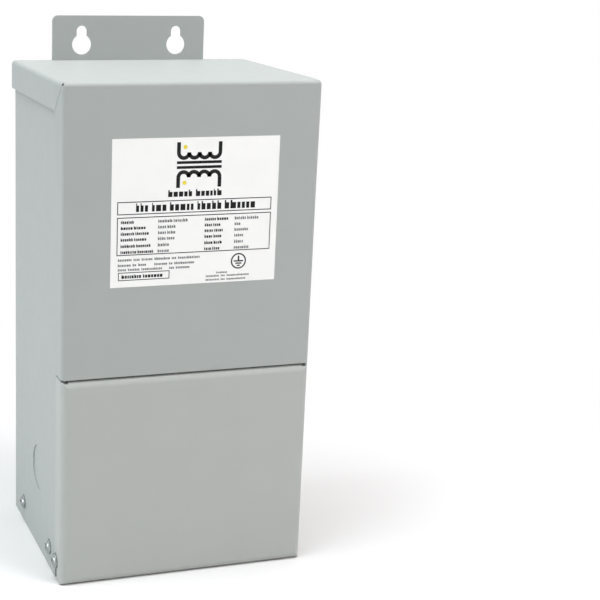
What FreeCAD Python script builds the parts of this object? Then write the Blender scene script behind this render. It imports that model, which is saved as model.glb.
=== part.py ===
import FreeCAD, Part
import math
import os
from types import SimpleNamespace

import Sketcher

# Buck boost transformer in a wall mounted steel enclosure.
# The origin is at the bottom centre of the enclosure: +X to the right, +Y to the wall, +Z up.
# Folded sheets make the enclosure. The upper part holds the core and coils, cast in compound,
# and the lower part is the wiring compartment behind a screwed cover.

SIZES = {
    # Enclosure
    "case_width": 152.4,
    "case_depth": 127.0,
    "case_height": 296.5,
    "sheet": 1.5,
    "bend": 2.5,
    "cover_bend": 4.2,
    "cover_proud": 1.25,
    "shell_proud": 0.25,
    "seam_height": 126.6,
    "seam_gap": 0.8,
    "panel_gap": 0.3,
    "cut_past": 1.0,
    "flange_depth": 12.5,
    "lip_set": 2.5,
    "joggle_rise": 0.4,
    # Hood flaps that lap the side panels
    "flap_height": 17.0,
    "flap_set": 13.0,
    "flap_relief": 3.0,
    "flap_gap": 0.25,
    "flare_height": 71.5,
    "corner_relief": 2.0,
    # Wall tab with keyholes, and the lower fixing holes
    "tab_width": 100.0,
    "tab_rise": 27.7,
    "tab_corner": 3.5,
    "tab_offset": -2.4,
    "notch_gap": 0.1,
    "keyhole_spacing": 62.2,
    "keyhole_entry": 12.6,
    "keyhole_slot": 6.8,
    "keyhole_rise": 9.7,
    "keyhole_travel": 8.3,
    "lower_hole": 7.1,
    "lower_hole_height": 30.0,
    # Knockouts, half sheared and held by two ties
    "knockout": 28.2,
    "knockout_set": 58.7,
    "knockout_height": 52.5,
    "knockout_sink": 0.7,
    "knockout_tie": 2.2,
    "floor_knockout": 22.2,
    "floor_knockout_spacing": 62.0,
    # Screws
    "screw_head": 9.3,
    "head_rise": 2.4,
    "head_edge": 0.7,
    "screw_shank": 4.0,
    "screw_length": 9.0,
    "hole_clearance": 0.3,
    "floor_screw_height": 13.0,
    "floor_screw_set": 27.75,
    "cover_screw_height": 11.8,
    "cover_screw_set": 10.3,
    "head_lift": 0.3,
    # Cover corner reliefs and screw notches
    "relief_width": 2.5,
    "relief_depth": 1.3,
    "relief_inset": 1.4,
    "notch_clearance": 0.4,
    # Floor tray of the wiring compartment
    "tray_wall": 21.0,
    "tray_back_wall": 12.0,
    "tray_clearance": 0.2,
    "tray_gap": 0.8,
    # Rating label
    "label_width": 100.0,
    "label_height": 85.0,
    "label_offset": 1.6,
    "label_centre": 222.7,
    "label_thickness": 0.15,
    # Casting compound
    "fill_rise": 4.4,
    # Laminated core: the middle leg carries the coil
    "core_room": 8.7,
    "coil_room": 11.6,
    "outer_leg": 22.0,
    "window_width": 22.0,
    "window_height": 66.0,
    "yoke_height": 22.0,
    # Coil layers, from the leg outwards
    "tube_gap": 0.4,
    "tube_wall": 1.6,
    "tube_flange": 1.8,
    "tube_corner": 1.0,
    "primary_build": 3.6,
    "secondary_build": 3.6,
    "wrap_build": 0.5,
    "coil_end_gap": 0.5,
    "coil_margin": 0.6,
    # Core clamps and their bolts
    "clamp_leg": 16.0,
    "clamp_foot": 10.0,
    "clamp_sheet": 2.5,
    "clamp_inset": 2.0,
    "clamp_bolt": 6.0,
    "bolt_head_width": 10.0,
    "bolt_head_rise": 4.0,
    "nut_rise": 5.0,
    "nut_clearance": 0.05,
    "bolt_clearance": 0.2,
    "bolt_tail": 2.0,
    # Terminal block on its bracket
    "terminal_height": 72.0,
    "bracket_room": 10.7,
    "bracket_stand": 9.0,
    "bracket_face": 30.0,
    "bracket_foot": 9.0,
    "block_inset": 3.0,
    "block_end": 9.0,
    "block_height": 27.0,
    "block_depth": 12.0,
    "barrier_width": 2.2,
    "barrier_rise": 7.0,
    "plate_gap": 0.7,
    "plate_height": 21.0,
    "plate_thickness": 1.2,
    "terminal_row": 6.4,
    "terminal_screw": 3.6,
    "terminal_clearance": 0.2,
    "terminal_head": 7.2,
    "terminal_head_rise": 2.4,
    "terminal_screw_length": 9.0,
    "washer_lip": 0.15,
    "block_screw_inset": 4.0,
    "block_screw_head": 6.6,
    "screw_tail": 2.0,
    # Leads and their ring lugs
    "primary_lead": 3.2,
    "secondary_lead": 4.2,
    "lead_pitch": 8.5,
    "lead_reach": 14.0,
    "lead_gap": 0.3,
    "lug_lip": 0.15,
    "lug_thickness": 1.0,
    "barrel_wall": 0.6,
    "barrel_clearance": 0.05,
    "barrel_length": 8.0,
    "barrel_rise": 5.0,
    "barrel_depth": 5.0,
    # Grounding stud
    "ground_stud": 5.0,
    "ground_length": 14.0,
    "ground_across": 8.0,
    "ground_nut_rise": 4.0,
    "ground_washer": 12.0,
    "ground_washer_thickness": 1.2,
    "ground_offset": 46.0,
    "ground_height": 36.0,
}

doc = FreeCAD.newDocument("buck_boost_transformer")
sheet = doc.addObject("Spreadsheet::Sheet", "Sizes")
for row, (name, value) in enumerate(SIZES.items(), 1):
    sheet.set(f"A{row}", name)
    sheet.set(f"B{row}", str(value))
    sheet.setAlias(f"B{row}", name)
doc.recompute()


class Size:
    """A length together with the sheet expression that gives it."""

    def __init__(self, value, text):
        self.value = value
        self.text = text

    def __add__(self, other):
        other = as_size(other)
        return Size(self.value + other.value, f"({self.text} + {other.text})")

    def __sub__(self, other):
        other = as_size(other)
        return Size(self.value - other.value, f"({self.text} - {other.text})")

    def __mul__(self, other):
        other = as_size(other)
        return Size(self.value * other.value, f"({self.text} * {other.text})")

    def __truediv__(self, other):
        other = as_size(other)
        return Size(self.value / other.value, f"({self.text} / {other.text})")

    def __radd__(self, other):
        return as_size(other) + self

    def __rsub__(self, other):
        return as_size(other) - self

    def __rmul__(self, other):
        return as_size(other) * self

    def __neg__(self):
        return Size(-self.value, f"(-1 * {self.text})")


def as_size(item):
    if isinstance(item, Size):
        return item
    return Size(float(item), f"({float(item)})")


at = SimpleNamespace(**{name: Size(float(sheet.get(name)), f"Sizes.{name}") for name in SIZES})
BOTH_SIDES = (-1, 1)


def plane_of(body, role):
    return next(item for item in body.Origin.OriginFeatures if item.Role == role)


def new_body(name):
    body = doc.addObject("PartDesign::Body", name)
    body.Label = name
    return body


def new_sketch(body, role, name, offset):
    sketch = body.newObject("Sketcher::SketchObject", name)
    sketch.AttachmentSupport = [(plane_of(body, role), "")]
    sketch.MapMode = "FlatFace"
    sketch.setExpression("AttachmentOffset.Base.z", as_size(offset).text)
    return sketch


def bind_point(sketch, curve, point, spot):
    for kind, length in zip(("DistanceX", "DistanceY"), spot):
        index = sketch.addConstraint(Sketcher.Constraint(kind, -1, 1, curve, point, length.value))
        sketch.setExpression(f"Constraints[{index}]", length.text)


def draw_outline(sketch, points):
    """A closed outline of straight edges, each corner placed by sheet sizes."""
    first = sketch.GeometryCount
    spots = [(as_size(across), as_size(up)) for across, up in points]
    corners = [FreeCAD.Vector(across.value, up.value, 0) for across, up in spots]
    count = len(corners)
    for index, corner in enumerate(corners):
        sketch.addGeometry(Part.LineSegment(corner, corners[(index + 1) % count]))
    for index in range(count):
        joined = first + (index + 1) % count
        sketch.addConstraint(Sketcher.Constraint("Coincident", first + index, 2, joined, 1))
    for index, spot in enumerate(spots):
        bind_point(sketch, first + index, 1, spot)


def draw_circle(sketch, centre, diameter):
    spot = [as_size(length) for length in centre]
    diameter = as_size(diameter)
    middle = FreeCAD.Vector(spot[0].value, spot[1].value, 0)
    up = FreeCAD.Vector(0, 0, 1)
    curve = sketch.addGeometry(Part.Circle(middle, up, diameter.value / 2))
    bind_point(sketch, curve, 3, spot)
    index = sketch.addConstraint(Sketcher.Constraint("Diameter", curve, diameter.value))
    sketch.setExpression(f"Constraints[{index}]", diameter.text)


def box_outline(left, right, low, high):
    return [(left, low), (right, low), (right, high), (left, high)]


def draw_rounded_box(sketch, outline, radius):
    """A rectangle with a tangent arc at each corner."""
    radius = as_size(radius)
    (left, low), (right, high) = outline[0], outline[2]
    inner_left, inner_right = left + radius, right - radius
    inner_low, inner_high = low + radius, high - radius
    runs = [((inner_left, low), (inner_right, low)), ((right, inner_low), (right, inner_high))]
    runs += [((inner_right, high), (inner_left, high)), ((left, inner_high), (left, inner_low))]
    centres = [(inner_right, inner_low), (inner_right, inner_high)]
    centres += [(inner_left, inner_high), (inner_left, inner_low)]
    first = sketch.GeometryCount
    for run in runs:
        ends = [FreeCAD.Vector(across.value, up.value, 0) for across, up in run]
        line = sketch.addGeometry(Part.LineSegment(*ends))
        bind_point(sketch, line, 1, run[0])
        bind_point(sketch, line, 2, run[1])
    for corner, (across, up) in enumerate(centres):
        centre = FreeCAD.Vector(across.value, up.value, 0)
        circle = Part.Circle(centre, FreeCAD.Vector(0, 0, 1), radius.value)
        start = (corner - 1) * math.pi / 2
        arc = sketch.addGeometry(Part.ArcOfCircle(circle, start, start + math.pi / 2))
        following = first + (corner + 1) % 4
        sketch.addConstraint(Sketcher.Constraint("Coincident", arc, 1, first + corner, 2))
        sketch.addConstraint(Sketcher.Constraint("Coincident", arc, 2, following, 1))
        index = sketch.addConstraint(Sketcher.Constraint("Radius", arc, radius.value))
        sketch.setExpression(f"Constraints[{index}]", radius.text)


def extrude(body, role, name, low, high, outlines=(), circles=(), rounded=(), cut=False):
    """Pads or pockets the outlines between two places along the axis of their plane.

    The axis is Z for XY_Plane, X for YZ_Plane and Y for XZ_Plane, whose sketch looks along -Y.
    """
    low, high = as_size(low), as_size(high)
    if role == "XZ_Plane":
        start = -low if cut else -high
    else:
        start = high if cut else low
    sketch = new_sketch(body, role, name + "_sketch", start)
    for points in outlines:
        draw_outline(sketch, points)
    for centre, diameter in circles:
        draw_circle(sketch, centre, diameter)
    for points, radius in rounded:
        draw_rounded_box(sketch, points, radius)
    feature = body.newObject("PartDesign::Pocket" if cut else "PartDesign::Pad", name)
    feature.Profile = sketch
    feature.setExpression("Length", (high - low).text)
    doc.recompute()
    return feature


def edges_at(shape, **places):
    """Names of the edges whose ends all lie at the given places, such as x=3 or z=10."""
    found = []
    for number, edge in enumerate(shape.Edges, 1):
        points = [vertex.Point for vertex in edge.Vertexes]
        on_place = all(
            abs(getattr(point, axis) - as_size(place).value) < 0.005
            for point in points
            for axis, place in places.items()
        )
        if len(points) == 2 and on_place:
            found.append(f"Edge{number}")
    return found


def round_edges(body, name, radius, *places, but=None):
    """Rounds the body's edges that lie at any of the places, but not those at the last one."""
    base = body.Tip
    names = set()
    for place in places:
        names.update(edges_at(base.Shape, **place))
    if but is not None:
        names.difference_update(edges_at(base.Shape, **but))
    feature = body.newObject("PartDesign::Fillet", name)
    feature.Base = (base, sorted(names))
    feature.setExpression("Radius", as_size(radius).text)
    doc.recompute()
    return feature


# Places that several pieces share
half_width = at.case_width / 2
back = (at.case_depth + at.cover_proud) / 2
front = back - at.case_depth
cover_face = front - at.cover_proud
middle = (front + back) / 2
wall_inside = half_width - at.sheet
back_inside = back - at.sheet
top_inside = at.case_height - at.sheet
inner_bend = at.bend - at.sheet
hood_bottom = at.seam_height + at.seam_gap / 2
cover_top = at.seam_height - at.seam_gap / 2
flange_end = front + at.flange_depth
lip_outside = wall_inside - at.panel_gap
lip_inside = lip_outside - at.sheet
joggle_start = flange_end + at.panel_gap
joggle_end = joggle_start + at.joggle_rise
inner_joggle_start = joggle_start + at.sheet
inner_joggle_end = inner_joggle_start + at.joggle_rise
flap_inside = half_width + at.flap_gap
flap_outside = flap_inside + at.sheet
flap_bottom = at.case_height - at.flap_height
flare_start = at.case_height - at.flare_height
bend_top = at.case_height - at.bend
shell_side = half_width + at.shell_proud
past_side = flap_outside + at.cut_past
wall_strip = lip_inside - at.bend
tab_left = at.tab_offset - at.tab_width / 2
tab_right = at.tab_offset + at.tab_width / 2
tab_top = at.case_height + at.tab_rise
fill_bottom = at.seam_height + at.fill_rise
floor_screw_places = [front + at.floor_screw_set, back - at.floor_screw_set]
cover_screw_place = front + at.cover_screw_set
knockout_place = front + at.knockout_set


def sink_knockout(body, role, name, centre, diameter, outer, inward):
    """A half sheared knockout: sunk by its sink from the outer face, with two unsheared ties.

    outer is the place of the panel's outer face and inward is +1 or -1 along the axis.
    """
    across, up = centre
    radius = diameter / 2
    slug_gap = at.knockout_sink * inward
    inner = outer + at.sheet * inward
    sunk = [outer, outer + slug_gap]
    proud = [inner, inner + slug_gap]
    if inward < 0:
        sunk.reverse()
        proud.reverse()
    extrude(body, role, name + "_sink", *sunk, circles=[(centre, diameter)], cut=True)
    extrude(body, role, name + "_slug", *proud, circles=[(centre, diameter)])
    ties = [
        box_outline(
            across + side * radius - at.knockout_tie / 2,
            across + side * radius + at.knockout_tie / 2,
            up - at.knockout_tie / 2,
            up + at.knockout_tie / 2,
        )
        for side in BOTH_SIDES
    ]
    extrude(body, role, name + "_ties", *sunk, outlines=ties)


# Case wrapper: one sheet folded to a U, back wall and both sides, with joggled front lips.
# The wall tab with its keyholes stands up from the back wall.
def make_case_wrapper():
    body = new_body("case_wrapper")
    section = []
    section += [(lip_outside, front + at.lip_set), (lip_outside, joggle_start)]
    section += [(half_width, joggle_end), (half_width, back)]
    section += [(-half_width, back), (-half_width, joggle_end)]
    section += [(-lip_outside, joggle_start), (-lip_outside, front + at.lip_set)]
    section += [(-lip_inside, front + at.lip_set), (-lip_inside, inner_joggle_start)]
    section += [(-wall_inside, inner_joggle_end), (-wall_inside, back_inside)]
    section += [(wall_inside, back_inside), (wall_inside, inner_joggle_end)]
    section += [(lip_inside, inner_joggle_start), (lip_inside, front + at.lip_set)]
    extrude(body, "XY_Plane", "wrapper_walls", 0, top_inside, outlines=[section])
    outer_corners = [{"x": side * half_width, "y": back} for side in BOTH_SIDES]
    inner_corners = [{"x": side * wall_inside, "y": back_inside} for side in BOTH_SIDES]
    round_edges(body, "outer_bends", at.bend, *outer_corners)
    round_edges(body, "inner_bends", inner_bend, *inner_corners)
    edge = half_width + at.cut_past
    ends = [
        box_outline(lip_inside - at.cut_past, edge, front, joggle_start),
        box_outline(-edge, -lip_inside + at.cut_past, front, joggle_start),
    ]
    extrude(body, "XY_Plane", "lip_ends", -at.cut_past, at.sheet * 2, outlines=ends, cut=True)
    edges = [
        box_outline(lip_inside - at.cut_past, edge, front, back + at.cut_past),
        box_outline(-edge, -lip_inside + at.cut_past, front, back + at.cut_past),
    ]
    below_bend = (top_inside - inner_bend / 2, top_inside + at.cut_past)
    extrude(body, "XY_Plane", "side_tops", *below_bend, outlines=edges, cut=True)

    tab_foot = top_inside - at.tab_corner
    tab = box_outline(tab_left, tab_right, tab_foot, tab_top)
    extrude(body, "XZ_Plane", "wall_tab", back_inside, back, outlines=[tab])
    corners = [{"x": side, "z": tab_top} for side in (tab_left, tab_right)]
    round_edges(body, "tab_corners", at.tab_corner, *corners)

    entry_height = at.case_height + at.keyhole_rise
    stop_height = entry_height + at.keyhole_travel
    columns = [at.tab_offset + side * at.keyhole_spacing / 2 for side in BOTH_SIDES]
    through = (back_inside - at.cut_past, back + at.cut_past)
    entries = [((column, entry_height), at.keyhole_entry) for column in columns]
    stops = [((column, stop_height), at.keyhole_slot) for column in columns]
    half_slot = at.keyhole_slot / 2
    slots = [
        box_outline(column - half_slot, column + half_slot, entry_height, stop_height)
        for column in columns
    ]
    lower = [((column, at.lower_hole_height), at.lower_hole) for column in columns]
    extrude(body, "XZ_Plane", "keyhole_entries", *through, circles=entries, cut=True)
    extrude(body, "XZ_Plane", "keyhole_slots", *through, outlines=slots, cut=True)
    extrude(body, "XZ_Plane", "keyhole_stops", *through, circles=stops, cut=True)
    extrude(body, "XZ_Plane", "lower_holes", *through, circles=lower, cut=True)

    bore = at.screw_shank + at.hole_clearance
    holes = [((place, at.floor_screw_height), bore) for place in floor_screw_places]
    holes.append(((cover_screw_place, at.cover_screw_height), bore))
    width = (-half_width - at.cut_past, half_width + at.cut_past)
    extrude(body, "YZ_Plane", "side_screw_holes", *width, circles=holes, cut=True)
    for side, word in zip(BOTH_SIDES, ("left", "right")):
        centre = (knockout_place, at.knockout_height)
        outer = side * half_width
        name = word + "_knockout"
        sink_knockout(body, "YZ_Plane", name, centre, at.knockout, outer, -side)
    return body


# Hood: one sheet with the upper front panel, the top and their flanges.
# The front has narrow side flanges, and the top has flaps that lap the side panels. Towards its
# upper end each flange leans out to the plane of the flap, and a slanted slit parts the two.
def shell_outline(side, rear_side, inset, rear):
    """The hood's plan: sides that run straight to the flaps' tips, and then back to the rear."""
    near = front + inset
    tip = front + at.flap_set
    right_half = [(side, near), (rear_side, tip), (rear_side, rear)]
    left_half = [(-across, depth) for across, depth in reversed(right_half)]
    return right_half + left_half


def make_flared_shell(body, name, side, rear_side, inset, low, high, rear, cut):
    """The hood's outside or inside: straight, then flared, then straight up to the top."""
    word = "Subtractive" if cut else "Additive"
    plain = shell_outline(side, side, inset, rear)
    flared = shell_outline(side, rear_side, inset, rear)
    extrude(body, "XY_Plane", name + "_lower", low, flare_start, outlines=[plain], cut=cut)
    sections = []
    for outline, height, place in ((plain, flare_start, "low"), (flared, flap_bottom, "high")):
        sketch = new_sketch(body, "XY_Plane", f"{name}_flare_{place}", height)
        draw_outline(sketch, outline)
        sections.append(sketch)
    loft = body.newObject(f"PartDesign::{word}Loft", name + "_flare")
    loft.Profile = sections[0]
    loft.Sections = [sections[1]]
    loft.Ruled = True
    doc.recompute()
    extrude(body, "XY_Plane", name + "_upper", flap_bottom, high, outlines=[flared], cut=cut)


def make_hood():
    body = new_body("hood")
    outside = (shell_side, flap_outside, as_size(0), hood_bottom, at.case_height, back, False)
    make_flared_shell(body, "outside", *outside)
    corners = [{"x": side * shell_side, "y": front} for side in BOTH_SIDES]
    rear_edge = {"y": back, "z": at.case_height}
    round_edges(body, "outer_bends", at.bend, *corners, {"z": at.case_height}, but=rear_edge)

    past_back = back + at.cut_past
    low_end = hood_bottom - at.cut_past
    inner_side = shell_side - at.sheet
    inside = (inner_side, flap_inside, at.sheet, low_end, top_inside, past_back, True)
    make_flared_shell(body, "inside", *inside)
    inside_front = front + at.sheet
    corners = [{"x": side * inner_side, "y": inside_front} for side in BOTH_SIDES]
    rear_edge = {"y": back, "z": top_inside}
    round_edges(body, "inner_bends", inner_bend, *corners, {"z": top_inside}, but=rear_edge)

    slit_top = front + at.flap_relief
    slit_width = at.flap_set - at.flange_depth
    parting = [(flange_end, low_end), (past_back, low_end), (past_back, flap_bottom)]
    parting += [(front + at.flap_set, flap_bottom), (slit_top, bend_top)]
    parting += [(slit_top - slit_width, bend_top), (flange_end, flap_bottom)]
    relief = ((slit_top - slit_width * 2, bend_top + at.corner_relief / 2), at.corner_relief)
    for side, word in zip(BOTH_SIDES, ("left", "right")):
        span = sorted((side * wall_strip, side * past_side), key=lambda place: place.value)
        extrude(body, "YZ_Plane", word + "_parting", *span, outlines=[parting], cut=True)
        span = sorted((side * wall_inside, side * past_side), key=lambda place: place.value)
        extrude(body, "YZ_Plane", word + "_relief", *span, circles=[relief], cut=True)

    notch_front = back_inside - at.notch_gap
    notch_sides = (tab_left - at.panel_gap, tab_right + at.panel_gap)
    notch = box_outline(*notch_sides, notch_front, past_back)
    notch_low = top_inside - at.cut_past
    extrude(body, "XY_Plane", "tab_notch", notch_low, tab_top, outlines=[notch], cut=True)
    return body


# Wiring cover: a shallow folded pan over the wiring compartment, lifted off towards the front.
# Its flanges stand slightly proud of the side panels, and each has a notch that clears a screw.
def make_wiring_cover():
    body = new_body("wiring_cover")
    block = box_outline(-shell_side, shell_side, cover_face, flange_end)
    extrude(body, "XY_Plane", "cover_block", 0, cover_top, outlines=[block])
    outside = [{"x": side * shell_side, "y": cover_face} for side in BOTH_SIDES]
    outside += [{"y": cover_face, "z": place} for place in (0, cover_top)]
    round_edges(body, "outer_bends", at.cover_bend, *outside)

    inside_face = cover_face + at.sheet
    low = as_size(at.sheet)
    high = cover_top - at.sheet
    inner_side = shell_side - at.sheet
    opening = box_outline(-inner_side, inner_side, low, high)
    ahead = (inside_face, flange_end + at.cut_past)
    extrude(body, "XZ_Plane", "pan", *ahead, outlines=[opening], cut=True)
    inside = [{"x": side * inner_side, "y": inside_face} for side in BOTH_SIDES]
    inside += [{"y": inside_face, "z": place} for place in (low, high)]
    round_edges(body, "inner_bends", at.cover_bend - at.sheet, *inside)

    relief_outer = half_width - at.relief_inset
    relief_inner = relief_outer - at.relief_width
    relief_bottom = cover_top - at.relief_depth
    reliefs = [
        box_outline(relief_inner, relief_outer, relief_bottom, cover_top + at.cut_past),
        box_outline(-relief_outer, -relief_inner, relief_bottom, cover_top + at.cut_past),
    ]
    whole = (cover_face - at.cut_past, flange_end + at.cut_past)
    extrude(body, "XZ_Plane", "corner_reliefs", *whole, outlines=reliefs, cut=True)
    top_slots = [
        box_outline(relief_inner, relief_outer, high - at.cut_past, cover_top + at.cut_past),
        box_outline(-relief_outer, -relief_inner, high - at.cut_past, cover_top + at.cut_past),
    ]
    behind_bend = (front + at.lip_set - at.panel_gap, flange_end + at.cut_past)
    extrude(body, "XZ_Plane", "return_slots", *behind_bend, outlines=top_slots, cut=True)

    clear = at.screw_shank / 2 + at.notch_clearance
    notch = box_outline(
        cover_screw_place - clear, flange_end + at.cut_past, -at.cut_past, at.cover_screw_height + clear
    )
    for side, word in zip(BOTH_SIDES, ("left", "right")):
        span = [side * wall_inside, side * (half_width + at.cut_past)]
        if side < 0:
            span.reverse()
        extrude(body, "YZ_Plane", word + "_screw_notch", *span, outlines=[notch], cut=True)
    return body


# Floor tray: closes the wiring compartment from below, screwed through its upturned sides.
def make_floor_tray():
    body = new_body("floor_tray")
    side_place = wall_inside - at.tray_clearance
    tray_front = inner_joggle_end + at.tray_gap
    tray_back = back_inside - at.tray_clearance
    block = box_outline(-side_place, side_place, tray_front, tray_back)
    extrude(body, "XY_Plane", "tray_block", 0, at.tray_wall, outlines=[block])
    bends = [{"x": side * side_place, "z": 0} for side in BOTH_SIDES]
    bends.append({"y": tray_back, "z": 0})
    bends += [{"x": side * side_place, "y": tray_back} for side in BOTH_SIDES]
    round_edges(body, "outer_bends", at.bend, *bends)
    inner_side = side_place - at.sheet
    inner_back = tray_back - at.sheet
    hollow = box_outline(-inner_side, inner_side, tray_front - at.cut_past, inner_back)
    extrude(body, "XY_Plane", "hollow", at.sheet, at.tray_wall + at.cut_past, outlines=[hollow], cut=True)
    low_back = box_outline(-inner_side + at.bend, inner_side - at.bend, inner_back - at.cut_past, back)
    above = (at.tray_back_wall, at.tray_wall + at.cut_past)
    extrude(body, "XY_Plane", "back_wall_step", *above, outlines=[low_back], cut=True)
    bore = at.screw_shank + at.hole_clearance
    holes = [((place, at.floor_screw_height), bore) for place in floor_screw_places]
    width = (-half_width, half_width)
    extrude(body, "YZ_Plane", "screw_holes", *width, circles=holes, cut=True)
    for side, word in zip(BOTH_SIDES, ("left", "right")):
        centre = (side * at.floor_knockout_spacing / 2, middle)
        name = word + "_knockout"
        sink_knockout(body, "XY_Plane", name, centre, at.floor_knockout, as_size(0), 1)
    return body


# Rating label: a thin rectangular film on the upper front panel.
def make_rating_label():
    body = new_body("rating_label")
    outline = box_outline(
        at.label_offset - at.label_width / 2,
        at.label_offset + at.label_width / 2,
        at.label_centre - at.label_height / 2,
        at.label_centre + at.label_height / 2,
    )
    face = (front - at.label_thickness, front)
    extrude(body, "XZ_Plane", "label_film", *face, outlines=[outline])
    return body


# Laminated core: E shaped sheets stacked with the legs up, closed by a straight yoke stack.
core_half_width = wall_inside - at.core_room
middle_leg = (core_half_width - at.outer_leg - at.window_width) * 2
core_height = at.window_height + at.yoke_height * 2
core_bottom = (fill_bottom + top_inside - core_height) / 2
window_bottom = core_bottom + at.yoke_height
window_top = window_bottom + at.window_height
core_top = window_top + at.yoke_height
coil_reach = at.tube_gap + at.tube_wall + (at.primary_build + at.secondary_build) * 2 + at.wrap_build * 4
core_front = front + at.sheet + at.coil_room + coil_reach
core_back = back_inside - at.coil_room - coil_reach
bolt_columns = [side * (core_half_width - at.outer_leg / 2) for side in BOTH_SIDES]
lower_bolt_row = core_bottom + at.yoke_height / 2
upper_bolt_row = window_top + at.yoke_height / 2
bolt_bore = at.clamp_bolt + at.bolt_clearance * 2


def make_core_leg_stack():
    body = new_body("core_leg_stack")
    half_leg = middle_leg / 2
    window_end = half_leg + at.window_width
    outline = [(-core_half_width, core_bottom), (core_half_width, core_bottom)]
    outline += [(core_half_width, window_top), (window_end, window_top)]
    outline += [(window_end, window_bottom), (half_leg, window_bottom)]
    outline += [(half_leg, window_top), (-half_leg, window_top)]
    outline += [(-half_leg, window_bottom), (-window_end, window_bottom)]
    outline += [(-window_end, window_top), (-core_half_width, window_top)]
    extrude(body, "XZ_Plane", "leg_stack", core_front, core_back, outlines=[outline])
    holes = [((column, lower_bolt_row), bolt_bore) for column in bolt_columns]
    span = (core_front - at.cut_past, core_back + at.cut_past)
    extrude(body, "XZ_Plane", "bolt_holes", *span, circles=holes, cut=True)
    return body


def make_core_yoke_stack():
    body = new_body("core_yoke_stack")
    outline = box_outline(-core_half_width, core_half_width, window_top, core_top)
    extrude(body, "XZ_Plane", "yoke_stack", core_front, core_back, outlines=[outline])
    holes = [((column, upper_bolt_row), bolt_bore) for column in bolt_columns]
    span = (core_front - at.cut_past, core_back + at.cut_past)
    extrude(body, "XZ_Plane", "bolt_holes", *span, circles=holes, cut=True)
    return body


# Coil: a flanged tube on the middle leg with two primary and two secondary windings,
# each one followed by a wrap of insulation.
coil_bottom = window_bottom + at.coil_end_gap
coil_top = window_top - at.coil_end_gap
LAYERS = (
    ("primary_winding_one", "primary_build"),
    ("insulation_wrap_one", "wrap_build"),
    ("primary_winding_two", "primary_build"),
    ("insulation_wrap_two", "wrap_build"),
    ("secondary_winding_one", "secondary_build"),
    ("insulation_wrap_three", "wrap_build"),
    ("secondary_winding_two", "secondary_build"),
    ("insulation_wrap_four", "wrap_build"),
)
tube_reach = at.tube_gap + at.tube_wall
layer_reaches = [tube_reach]
for layer, build in LAYERS:
    layer_reaches.append(layer_reaches[-1] + getattr(at, build))
coil_back = core_back + coil_reach


def ring_outline(reach):
    """The outline that stands out from the middle leg by the reach on all four sides."""
    across = middle_leg / 2 + reach
    return box_outline(-across, across, core_front - reach, core_back + reach)


def make_coil_tube():
    body = new_body("coil_tube")
    tube = (ring_outline(tube_reach), at.tube_corner)
    extrude(body, "XY_Plane", "tube", coil_bottom, coil_top, rounded=[tube])
    flange = ring_outline(coil_reach)
    low = (coil_bottom, coil_bottom + at.tube_flange)
    high = (coil_top - at.tube_flange, coil_top)
    extrude(body, "XY_Plane", "lower_flange", *low, outlines=[flange])
    extrude(body, "XY_Plane", "upper_flange", *high, outlines=[flange])
    bore = ring_outline(at.tube_gap)
    whole = (coil_bottom - at.cut_past, coil_top + at.cut_past)
    extrude(body, "XY_Plane", "leg_bore", *whole, outlines=[bore], cut=True)
    return body


def make_coil_layer(name, inner, outer):
    """A winding or wrap: a rounded ring between two reaches, set between the tube's flanges."""
    body = new_body(name)
    margin = at.coil_margin if "winding" in name else as_size(0)
    low = coil_bottom + at.tube_flange + margin
    high = coil_top - at.tube_flange - margin
    rings = [(ring_outline(reach), at.tube_corner + (reach - tube_reach)) for reach in (inner, outer)]
    extrude(body, "XY_Plane", "layer", low, high, rounded=rings)
    return body


# Core clamps: steel angles along both faces of each yoke, drawn together by through bolts.
clamp_front = core_front - at.clamp_sheet
clamp_back = core_back + at.clamp_sheet
bolt_end = clamp_back + at.nut_rise + at.bolt_tail


def make_core_clamp(name, inner_face, outward, outer_edge, inward, bolt_row):
    """An angle against a yoke's face: outward is its side in Y and inward is towards the core."""
    body = new_body(name)
    foot_end = inner_face + at.clamp_foot * outward
    plate_face = inner_face + at.clamp_sheet * outward
    foot_face = outer_edge + at.clamp_sheet * inward
    leg_end = outer_edge + at.clamp_leg * inward
    section = [(inner_face, outer_edge), (foot_end, outer_edge), (foot_end, foot_face)]
    section += [(plate_face, foot_face), (plate_face, leg_end), (inner_face, leg_end)]
    half_length = core_half_width - at.clamp_inset
    extrude(body, "YZ_Plane", "angle", -half_length, half_length, outlines=[section])
    holes = [((column, bolt_row), bolt_bore) for column in bolt_columns]
    span = (clamp_front, core_front) if outward < 0 else (core_back, clamp_back)
    span = (span[0] - at.cut_past, span[1] + at.cut_past)
    extrude(body, "XZ_Plane", "bolt_holes", *span, circles=holes, cut=True)
    return body


def make_solids_group(name, shapes):
    """Several separate solids of one kind in one named sub-part."""
    group = doc.addObject("Part::Feature", name)
    group.Label = name
    group.Shape = Part.makeCompound(shapes)
    return group


def rod(across, up, start, end, diameter):
    """A round bar along Y between two depths."""
    base = FreeCAD.Vector(across.value, start.value, up.value)
    length = (end - start).value
    return Part.makeCylinder(diameter.value / 2, length, base, FreeCAD.Vector(0, 1, 0))


def hexagon_bar(across, up, start, end, across_flats):
    """A hexagon bar along Y between two depths."""
    radius = across_flats.value / math.sqrt(3)
    corners = []
    for turn in range(7):
        angle = math.radians(60 * turn)
        offset = FreeCAD.Vector(radius * math.cos(angle), 0, radius * math.sin(angle))
        corners.append(FreeCAD.Vector(across.value, start.value, up.value) + offset)
    face = Part.Face(Part.makePolygon(corners))
    return face.extrude(FreeCAD.Vector(0, (end - start).value, 0))


def plate(left, right, near, far, low, high):
    """A rectangular plate or block between six places."""
    sides = [(right - left).value, (far - near).value, (high - low).value]
    return Part.makeBox(*sides, FreeCAD.Vector(left.value, near.value, low.value))


bolt_spots = [(column, row) for column in bolt_columns for row in (lower_bolt_row, upper_bolt_row)]


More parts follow.
